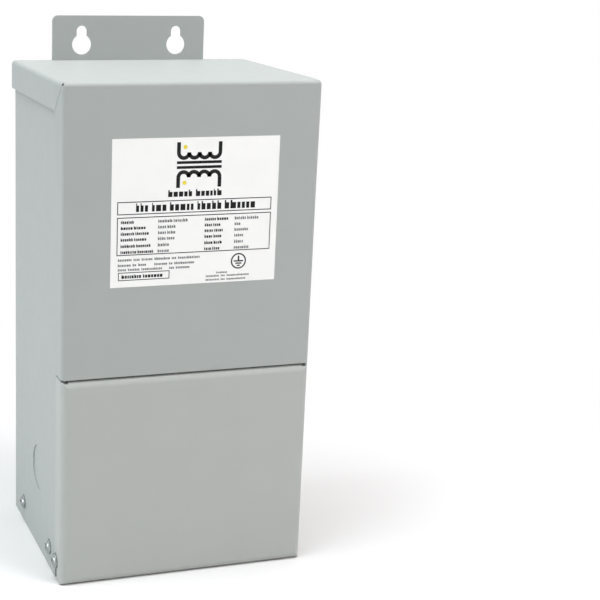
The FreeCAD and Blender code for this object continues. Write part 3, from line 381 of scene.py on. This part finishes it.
prints = []
for name, marks, ink in (("label_print", BOLD, label_ink), ("label_fine_print", FINE, fine_ink)):
    places = [(u / 1000, -v / 1000, INK_DEPTH / 2) for u, v, wide, high in marks]
    sizes = [(wide / 1000, high / 1000, 1) for u, v, wide, high in marks]
    values = {"Ink depth": INK_DEPTH, "Finish": ink}
    prints.append(grow(name, mark_layout, places, {"size": sizes}, values))

loop_sizes = ["Loop radius", "Sweep", "Start", "Line width", "Ink depth"]
loop_layout, given = new_layout("printed_loops", loop_sizes)
settings = {
    "Resolution": 28,
    "Radius": given.outputs["Loop radius"],
    "Start Angle": given.outputs["Start"],
    "Sweep Angle": given.outputs["Sweep"],
}
arc = add_node(loop_layout, "GeometryNodeCurveArc", settings)
section = add_node(
    loop_layout,
    "GeometryNodeCurvePrimitiveQuadrilateral",
    {"Width": given.outputs["Line width"], "Height": given.outputs["Ink depth"]},
)
settings = {"Curve": arc.outputs[0], "Profile Curve": section.outputs[0], "Fill Caps": True}
band = add_node(loop_layout, "GeometryNodeCurveToMesh", settings)
end_layout(loop_layout, given, band.outputs[0])

for name, row, start in (("upper", -1, math.pi), ("lower", 1, 0.0)):
    middle = SYMBOL_V + row * LOOP_ROW
    first = SYMBOL_U - (LOOP_COUNT - 1) * LOOP_RADIUS
    columns = [first + number * 2 * LOOP_RADIUS for number in range(LOOP_COUNT)]
    spots = [(column / 1000, -middle / 1000, INK_DEPTH / 2) for column in columns]
    values = {
        "Loop radius": LOOP_RADIUS / 1000,
        "Start": start,
        "Sweep": math.pi,
        "Line width": LOOP_LINE / 1000,
        "Ink depth": INK_DEPTH,
        "Finish": label_ink,
    }
    prints.append(grow(f"{name}_winding_symbol", loop_layout, spots, {}, values))
values = {
    "Loop radius": 0.0043,
    "Start": 0.0,
    "Sweep": math.tau,
    "Line width": 0.0008,
    "Ink depth": INK_DEPTH,
    "Finish": label_ink,
}
spots = [(EARTH_U / 1000, -EARTH_V / 1000, INK_DEPTH / 2)]
prints.append(grow("earth_symbol_ring", loop_layout, spots, {}, values))

dot_layout, given = new_layout("printed_dots", ["Dot radius", "Ink depth"])
settings = {
    "Vertices": 24,
    "Radius": given.outputs["Dot radius"],
    "Depth": given.outputs["Ink depth"],
}
disc = add_node(dot_layout, "GeometryNodeMeshCylinder", settings)
end_layout(dot_layout, given, disc.outputs["Mesh"])
DOT_U = SYMBOL_U - 8.6
DOT_ROW = 10.2
spots = [(DOT_U / 1000, -(SYMBOL_V + row * DOT_ROW) / 1000, INK_DEPTH / 2) for row in (-1, 1)]
values = {"Dot radius": 0.0012, "Ink depth": INK_DEPTH, "Finish": label_yellow}
prints.append(grow("terminal_dots", dot_layout, spots, {}, values))
for piece in prints:
    piece.data.transform(ON_LABEL)
    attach(piece, "case")

# ---------------------------------------------------------------------------
# Screws: zinc plated steel, upset pan heads with a cross recess and rolled threads.
# Six hold the floor tray and the wiring cover at the sides of the case.
sockets = {"Metallic": 1.0, "Specular IOR Level": 0.5}
zinc_plate, tree, shader, place = new_material("bright_zinc", sockets)
add_shades(tree, shader, add_noise(tree, place, 700, 3), srgb(132, 137, 139), srgb(175, 179, 178))
add_range(tree, shader.inputs["Roughness"], add_noise(tree, place, 900, 3), 0.18, 0.32)
add_bump(tree, shader, add_noise(tree, place, 1500, 2), 0.00001, 0.2)

screw_layout, given = new_layout(
    "headed_screws",
    [
        "Head radius",
        "Head edge",
        "Head rise",
        "Crown power",
        "Recess length",
        "Recess cross",
        "Recess width",
        "Recess depth",
        "Shank radius",
        "Shank length",
        "Thread pitch",
        "Thread rise",
    ],
)


def number_node(operation, first, second, tree=screw_layout):
    """The result of a Math node on two numbers or sockets."""
    node = add_node(tree, "ShaderNodeMath", operation=operation)
    for index, value in enumerate((first, second)):
        if isinstance(value, bpy.types.NodeSocket):
            tree.links.new(value, node.inputs[index])
        else:
            node.inputs[index].default_value = value
    return node.outputs[0]


def along_axis(amount, tree=screw_layout):
    """A vector along the screw's own axis, Z."""
    return add_node(tree, "ShaderNodeCombineXYZ", {"X": 0, "Y": 0, "Z": amount}).outputs[0]


def shifted(shape, height, tree=screw_layout):
    """A shape moved along the screw's own axis."""
    settings = {"Geometry": shape, "Translation": along_axis(height)}
    return add_node(tree, "GeometryNodeTransform", settings).outputs[0]


# The head is a low disc whose top fan is lifted to a crown.
head_edge = given.outputs["Head edge"]
head_radius = given.outputs["Head radius"]
settings = {
    "Vertices": 48,
    "Side Segments": 1,
    "Fill Segments": 12,
    "Radius": head_radius,
    "Depth": head_edge,
}
head = add_node(screw_layout, "GeometryNodeMeshCylinder", settings, fill_type="TRIANGLE_FAN")
head = shifted(head.outputs["Mesh"], number_node("DIVIDE", head_edge, 2))
spot = add_node(screw_layout, "GeometryNodeInputPosition").outputs[0]
split = add_node(screw_layout, "ShaderNodeSeparateXYZ", {"Vector": spot})
across = number_node("MULTIPLY", split.outputs["X"], split.outputs["X"])
across = number_node("ADD", across, number_node("MULTIPLY", split.outputs["Y"], split.outputs["Y"]))
across = number_node("DIVIDE", across, number_node("MULTIPLY", head_radius, head_radius))
across = number_node("POWER", across, given.outputs["Crown power"])
crown = number_node("SUBTRACT", given.outputs["Head rise"], head_edge)
crown = number_node("MULTIPLY", crown, number_node("SUBTRACT", 1, across))
on_top = number_node("GREATER_THAN", split.outputs["Z"], number_node("DIVIDE", head_edge, 2))
settings = {"Geometry": head, "Selection": on_top, "Offset": along_axis(crown)}
head = add_node(screw_layout, "GeometryNodeSetPosition", settings).outputs[0]

# The shank starts a little inside the head, and both become one solid.
SHANK_LAP = 0.0001
shank_length = given.outputs["Shank length"]
shank_radius = given.outputs["Shank radius"]
settings = {"Vertices": 24, "Radius": shank_radius, "Depth": shank_length}
shank = add_node(screw_layout, "GeometryNodeMeshCylinder", settings).outputs["Mesh"]
shank_middle = number_node("SUBTRACT", SHANK_LAP, number_node("DIVIDE", shank_length, 2))
shank = shifted(shank, shank_middle)
union = add_node(screw_layout, "GeometryNodeMeshBoolean", operation="UNION", solver="EXACT")
for shape in (head, shank):
    screw_layout.links.new(shape, union.inputs["Mesh 2"])

# Two crossed arms that narrow towards their bottom cut the recess.
ARM_TAPER = 0.62
solid = {"Mesh 1": union.outputs["Mesh"]}
settings = {"operation": "DIFFERENCE", "solver": "EXACT"}
recess = add_node(screw_layout, "GeometryNodeMeshBoolean", solid, **settings)
deep = number_node("MULTIPLY", given.outputs["Recess depth"], 2)
for long_side, wide_side in (("Recess length", "Recess width"), ("Recess width", "Recess cross")):
    sides = {"X": given.outputs[long_side], "Y": given.outputs[wide_side], "Z": deep}
    sides = add_node(screw_layout, "ShaderNodeCombineXYZ", sides).outputs[0]
    arm = add_node(screw_layout, "GeometryNodeMeshCube", {"Size": sides}).outputs["Mesh"]
    low_half = number_node("LESS_THAN", split.outputs["Z"], 0)
    taper = {0: spot, 1: (ARM_TAPER, ARM_TAPER, 1)}
    narrow = add_node(screw_layout, "ShaderNodeVectorMath", taper, operation="MULTIPLY")
    settings = {"Geometry": arm, "Selection": low_half, "Position": narrow.outputs[0]}
    arm = add_node(screw_layout, "GeometryNodeSetPosition", settings).outputs[0]
    screw_layout.links.new(shifted(arm, given.outputs["Head rise"]), recess.inputs["Mesh 2"])

# The thread is a ridge along a helix around the shank.
turns = number_node("DIVIDE", shank_length, given.outputs["Thread pitch"])
settings = {
    "Resolution": 20,
    "Rotations": turns,
    "Start Radius": shank_radius,
    "End Radius": shank_radius,
    "Height": shank_length,
}
helix = add_node(screw_layout, "GeometryNodeCurveSpiral", settings).outputs[0]
settings = {"Resolution": 4, "Radius": given.outputs["Thread rise"]}
ridge = add_node(screw_layout, "GeometryNodeCurvePrimitiveCircle", settings).outputs["Curve"]
settings = {"Curve": helix, "Profile Curve": ridge, "Fill Caps": True}
thread = add_node(screw_layout, "GeometryNodeCurveToMesh", settings).outputs[0]
thread = shifted(thread, number_node("MULTIPLY", shank_length, -1))
screw = add_node(screw_layout, "GeometryNodeJoinGeometry")
for shape in (recess.outputs["Mesh"], thread):
    screw_layout.links.new(shape, screw.inputs[0])
end_layout(screw_layout, given, screw.outputs[0], Rotation=vector_of(screw_layout, "turn"))

CROSS_SIZES = {
    "Head radius": 0.00465,
    "Head edge": 0.0007,
    "Head rise": 0.0024,
    "Crown power": 2.4,
    "Recess length": 0.0057,
    "Recess cross": 0.0057,
    "Recess width": 0.0014,
    "Recess depth": 0.0018,
    "Shank radius": 0.0017,
    "Shank length": 0.0088,
    "Thread pitch": 0.0008,
    "Thread rise": 0.00028,
}
SHARP_ANGLE = math.radians(32)
screw_turns = random.Random(5)


def set_screws(name, node, spots, facing, sizes, finish):
    """Screws at the spots with their heads facing a way, each turned to where it came tight."""
    turns = []
    for spot in spots:
        roll = Matrix.Rotation(screw_turns.uniform(0, math.pi), 3, "Z")
        turns.append((facing(spot).to_track_quat("Z", "Y").to_matrix() @ roll).to_euler())
    piece = grow(name, screw_layout, spots, {"turn": turns}, {**sizes, "Finish": finish})
    piece.data.polygons.foreach_set("use_smooth", [True] * len(piece.data.polygons))
    piece.data.set_sharp_from_angle(angle=SHARP_ANGLE)
    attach(piece, "case")
    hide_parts(node)


def outwards(spot):
    """To the left on the left side of the case, and to the right on its right side."""
    return Vector((math.copysign(1, spot[0]), 0, 0))


def forwards(spot):
    """To the front, as all screws of the terminal block face."""
    return Vector((0, -1, 0))


# Where the heads sit: on the side panels, and on the cover's flanges a little farther out.
PANEL_FACE, FLANGE_FACE = 0.0762, 0.0765
FLOOR_SCREW_PLACES = ((-0.035125, 0.013), (0.036375, 0.013))
COVER_SCREW_PLACES = ((-0.052575, 0.0118),)
for name, node, face, places in (
    ("floor_screw_set", "floor_screws", PANEL_FACE, FLOOR_SCREW_PLACES),
    ("cover_screw_set", "cover_screws", FLANGE_FACE, COVER_SCREW_PLACES),
):
    spots = [(side * face, depth, height) for side in (-1, 1) for depth, height in places]
    set_screws(name, node, spots, outwards, CROSS_SIZES, zinc_plate)

# ---------------------------------------------------------------------------
# Core and coil: stacked electrical steel, board coil tube, enamelled aluminium wire and paper
# wraps, all sealed in the casting. Black primed angles and plated bolts draw the stack together.
core_steel, tree, shader, place = new_material("stacked_core_steel", {"Metallic": 0.9})
settings = {"Vector": place, "Scale": 320.0, "Distortion": 0.6, "Detail": 1.0}
sheets = add_node(tree, "ShaderNodeTexWave", settings, bands_direction="Y")
add_shades(tree, shader, sheets.outputs["Fac"], srgb(78, 80, 86), srgb(128, 130, 134))
add_range(tree, shader.inputs["Roughness"], add_noise(tree, place, 200, 3), 0.4, 0.6)
add_bump(tree, shader, sheets.outputs["Fac"], 0.00008, 0.6)
dress(["core_leg_stack", "core_yoke_stack"], core_steel)

coil_board, tree, shader, place = new_material("coil_board", {"IOR": 1.45})
fibres = add_noise(tree, place, 900, 4, (1, 1, 0.15))
add_shades(tree, shader, fibres, srgb(158, 128, 82), srgb(188, 158, 108))
add_range(tree, shader.inputs["Roughness"], fibres, 0.7, 0.85)
add_bump(tree, shader, fibres, 0.00005, 0.5)
dress(["coil_tube"], coil_board)

wrap_paper, tree, shader, place = new_material("insulating_paper", {"IOR": 1.45})
fibres = add_noise(tree, place, 1400, 4, (0.3, 0.3, 1))
add_shades(tree, shader, fibres, srgb(198, 176, 132), srgb(220, 200, 158))
add_range(tree, shader.inputs["Roughness"], fibres, 0.65, 0.8)
add_bump(tree, shader, fibres, 0.00003, 0.5)
dress([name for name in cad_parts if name.startswith("insulation_wrap")], wrap_paper)

sockets = {"Metallic": 0.75, "Coat Weight": 0.5, "Coat Roughness": 0.15}
magnet_wire, tree, shader, place = new_material("enamelled_wire", sockets)
settings = {"Vector": place, "Scale": 300.0, "Distortion": 0.2, "Detail": 1.0}
rows = add_node(tree, "ShaderNodeTexWave", settings, bands_direction="Z")
add_shades(tree, shader, rows.outputs["Fac"], srgb(150, 104, 48), srgb(206, 166, 98))
add_range(tree, shader.inputs["Roughness"], rows.outputs["Fac"], 0.25, 0.4)
add_bump(tree, shader, rows.outputs["Fac"], 0.0003, 0.8)
dress([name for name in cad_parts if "_winding_" in name], magnet_wire)

clamp_primer, tree, shader, place = new_material("black_primer", {"IOR": 1.5})
add_shades(tree, shader, add_noise(tree, place, 160, 4), srgb(30, 31, 33), srgb(46, 47, 49))
add_range(tree, shader.inputs["Roughness"], add_noise(tree, place, 350, 2), 0.45, 0.6)
add_bump(tree, shader, add_noise(tree, place, 800, 3), 0.00005, 0.5)
dress([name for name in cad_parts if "_clamp_" in name], clamp_primer)
dress(["clamp_bolts", "clamp_nuts", "ground_stud", "ground_washer"], zinc_plate)

# ---------------------------------------------------------------------------
# Casting: black resin filled with quartz sand, poured around the core and coil. Its open face,
# over the wiring compartment, set with sand grains and a few pinholes in it.
resin, tree, shader, place = new_material("sand_filled_resin", {"IOR": 1.5})
grains = add_noise(tree, place, 900, 5)
add_shades(tree, shader, grains, srgb(26, 26, 27), srgb(58, 57, 55), (0.42, 0.78))
add_range(tree, shader.inputs["Roughness"], add_noise(tree, place, 120, 3), 0.55, 0.8)
add_bump(tree, shader, grains, 0.0002, 0.6)
dress(["potting_compound"], resin)

# ---------------------------------------------------------------------------
# Terminal block: moulded phenolic base with barriers, on a hat shaped galvanised bracket.
# Nickel plated plates, slotted screws, clamp washers and tinned crimp lugs join the leads.
phenolic, tree, shader, place = new_material("moulded_phenolic", {"IOR": 1.55})
add_shades(tree, shader, add_noise(tree, place, 500, 4), srgb(24, 24, 26), srgb(38, 38, 40))
add_range(tree, shader.inputs["Roughness"], add_noise(tree, place, 250, 3), 0.28, 0.45)
add_bump(tree, shader, add_noise(tree, place, 900, 2), 0.00002, 0.5)
dress(["terminal_base"], phenolic)

galvanised, tree, shader, place = new_material("galvanised_sheet", {"Metallic": 0.85})
spangle = add_node(tree, "ShaderNodeTexVoronoi", {"Vector": place, "Scale": 210.0})
spangle_tone = add_node(tree, "ShaderNodeSeparateColor", {"Color": spangle.outputs["Color"]})
add_shades(tree, shader, spangle_tone.outputs[0], srgb(166, 170, 172), srgb(192, 195, 196))
add_range(tree, shader.inputs["Roughness"], spangle_tone.outputs[1], 0.35, 0.55)
add_bump(tree, shader, add_noise(tree, place, 600, 3), 0.00002, 0.5)
dress(["terminal_bracket"], galvanised)

nickel, tree, shader, place = new_material("nickel_plate", {"Metallic": 1.0})
add_shades(tree, shader, add_noise(tree, place, 250, 2), srgb(196, 191, 177), srgb(210, 205, 190))
add_range(tree, shader.inputs["Roughness"], add_noise(tree, place, 600, 3, (1, 1, 0.2)), 0.22, 0.38)
add_bump(tree, shader, add_noise(tree, place, 900, 2, (1, 1, 0.2)), 0.00001, 0.15)
dress(["terminal_plates", "clamp_washers"], nickel)

tin, tree, shader, place = new_material("tin_plate", {"Metallic": 1.0})
add_shades(tree, shader, add_noise(tree, place, 500, 3), srgb(186, 187, 186), srgb(210, 210, 207))
add_range(tree, shader.inputs["Roughness"], add_noise(tree, place, 700, 3), 0.3, 0.48)
add_bump(tree, shader, add_noise(tree, place, 1200, 2), 0.00003, 0.5)
dress(["lead_lugs"], tin)

SLOT_SIZES = {
    **CROSS_SIZES,
    "Head radius": 0.0036,
    "Head edge": 0.0018,
    "Crown power": 1.5,
    "Recess length": 0.009,
    "Recess cross": 0.0011,
    "Recess width": 0.0011,
    "Recess depth": 0.0012,
    "Shank radius": 0.0015,
    "Shank length": 0.009,
    "Thread pitch": 0.0007,
}
BLOCK_SIZES = {**SLOT_SIZES, "Head radius": 0.0033, "Shank length": 0.0155}
POLES, POLE_PITCH = 8, 0.013
LUG_FACE, BLOCK_FACE = 0.039425, 0.041625
TERMINAL_ROWS = (0.0656, 0.0784)
BLOCK_SCREW_SIDE, BLOCK_MIDDLE = 0.057, 0.072
columns = [(pole - (POLES - 1) / 2) * POLE_PITCH for pole in range(POLES)]
terminal_spots = [(column, LUG_FACE, row) for column in columns for row in TERMINAL_ROWS]
block_spots = [(side * BLOCK_SCREW_SIDE, BLOCK_FACE, BLOCK_MIDDLE) for side in (-1, 1)]
for name, node, spots, sizes in (
    ("terminal_screw_set", "terminal_screws", terminal_spots, SLOT_SIZES),
    ("block_screw_set", "block_screws", block_spots, BLOCK_SIZES),
):
    set_screws(name, node, spots, forwards, sizes, zinc_plate)

# ---------------------------------------------------------------------------
# Leads: stranded wire in extruded insulation, black for the primary and red for the secondary.
# The grounding stud on the back wall carries a green dyed nut.
for prefix, low, high in (
    ("primary_lead", srgb(24, 24, 25), srgb(36, 36, 37)),
    ("secondary_lead", srgb(150, 26, 22), srgb(172, 36, 30)),
):
    sleeve, tree, shader, place = new_material(prefix + "_insulation", {"IOR": 1.5})
    add_shades(tree, shader, add_noise(tree, place, 300, 3, (1, 1, 0.3)), low, high)
    add_range(tree, shader.inputs["Roughness"], add_noise(tree, place, 500, 2), 0.38, 0.5)
    add_bump(tree, shader, add_noise(tree, place, 700, 2, (1, 1, 0.3)), 0.00003, 0.5)
    dress([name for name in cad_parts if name.startswith(prefix)], sleeve)

ground_green, tree, shader, place = new_material("green_dyed_nut", {"Metallic": 0.6})
add_shades(tree, shader, add_noise(tree, place, 600, 3), srgb(22, 104, 52), srgb(40, 134, 70))
add_range(tree, shader.inputs["Roughness"], add_noise(tree, place, 500, 3), 0.3, 0.45)
add_bump(tree, shader, add_noise(tree, place, 1000, 2), 0.00003, 0.5)
dress(["ground_nut"], ground_green)

# ---------------------------------------------------------------------------
# Floor, light and camera: a plain white floor, three soft lamps above and two low fills.
# The camera stands where the photograph was taken from.
FLOOR_HALF, FLOOR_LEVEL = 6.0, -0.0001
corners = [
    (across * FLOOR_HALF, along * FLOOR_HALF, FLOOR_LEVEL)
    for across, along in ((-1, -1), (1, -1), (1, 1), (-1, 1))
]
floor_mesh = bpy.data.meshes.new("floor")
floor_mesh.from_pydata(corners, [], [(0, 1, 2, 3)])


def seen_rays(tree):
    """1 for camera, glossy and transmission rays, and 0 for the rays that carry light around."""
    path = add_node(tree, "ShaderNodeLightPath")
    seen = path.outputs["Is Camera Ray"]
    for kind in ("Is Glossy Ray", "Is Transmission Ray"):
        seen = number_node("MAXIMUM", seen, path.outputs[kind], tree)
    return seen


# Close to the object the floor takes light and shadow, and farther out it is seen as plain white.
LIT_WITHIN, WHITE_FROM = 0.2, 0.5
LIGHT_TONE, SEEN_TONE = (0.8, 0.8, 0.8), (0.85, 0.85, 0.85)
floor_white, tree, shader, place = new_material("floor_white", {"Roughness": 0.9})
seen = seen_rays(tree)
add_shades(tree, shader, seen, LIGHT_TONE, SEEN_TONE, (0.4, 0.6))
away = add_node(tree, "ShaderNodeVectorMath", {0: place}, operation="LENGTH").outputs["Value"]
limits = {"Value": away, "From Min": LIT_WITHIN, "From Max": WHITE_FROM}
away = add_node(tree, "ShaderNodeMapRange", limits, interpolation_type="SMOOTHSTEP").outputs[0]
white = add_node(tree, "ShaderNodeEmission", {"Color": (1, 1, 1, 1), "Strength": 1.0})
settings = {0: number_node("MULTIPLY", away, seen, tree), 1: shader.outputs[0], 2: white.outputs[0]}
surface = add_node(tree, "ShaderNodeMixShader", settings)
tree.links.new(surface.outputs[0], tree.nodes["Material Output"].inputs["Surface"])
floor = add_piece("floor", floor_mesh, floor_white)

world = bpy.data.worlds.new("studio")
bpy.context.scene.world = world
world.use_nodes = True
tree = world.node_tree
tree.nodes.clear()
WORLD_FILL = 0.24
limits = {"Value": seen_rays(tree), "To Min": WORLD_FILL, "To Max": 1.0}
strength = add_node(tree, "ShaderNodeMapRange", limits).outputs["Result"]
sky = add_node(tree, "ShaderNodeBackground", {"Color": (1, 1, 1, 1), "Strength": strength})
add_node(tree, "ShaderNodeOutputWorld", {"Surface": sky.outputs[0]})

# Each lamp: its place, the side of its square, its power and its tint. The left light is a little
# cooler than the right, and all lamps face the middle of the object.
TARGET = Vector((0, 0, 0.16))
LAMPS = (
    ("top_softbox", (0.0, 0.0, 1.9), 1.4, 22.3, (1, 1, 1)),
    ("left_softbox", (-0.8, -0.2, 1.5), 1.0, 10.9, (0.94, 1, 1.03)),
    ("right_softbox", (0.8, -0.9, 1.42), 0.9, 13.1, (1, 0.945, 0.94)),
    ("low_left_fill", (-0.6, 0.02, 0.05), 0.3, 1.24, (0.94, 1, 1.03)),
    ("low_right_fill", (0.9, -0.8, 0.2), 0.4, 0.8, (1, 0.94, 0.935)),
)
for name, spot, side, power, tint in LAMPS:
    lamp = bpy.data.lights.new(name, "AREA")
    lamp.shape = "SQUARE"
    lamp.size = side
    lamp.energy = power
    lamp.color = tint
    holder = bpy.data.objects.new(name, lamp)
    bpy.context.scene.collection.objects.link(holder)
    holder.location = spot
    holder.rotation_mode = "QUATERNION"
    holder.rotation_quaternion = (TARGET - Vector(spot)).to_track_quat("-Z", "Y")

# The camera as solved from the photograph's edges. Its shift is the photograph's crop.
CAMERA_PLACE = (-0.26191, -0.81355, 0.38134)
CAMERA_RIGHT = Vector((0.95177, -0.30586, 0.02409))
CAMERA_UP = Vector((0.05180, 0.23757, 0.96999))
view = bpy.data.cameras.new("camera")
view.lens = 85.317
view.sensor_width = 36
view.shift_x = 0.22485
view.shift_y = -0.03635
camera = bpy.data.objects.new("camera", view)
bpy.context.scene.collection.objects.link(camera)
axes = (CAMERA_RIGHT, CAMERA_UP, CAMERA_RIGHT.cross(CAMERA_UP))
camera.matrix_world = Matrix.Translation(CAMERA_PLACE) @ Matrix(axes).transposed().to_4x4()
bpy.context.scene.camera = camera
bpy.context.scene.view_settings.view_transform = "Standard"
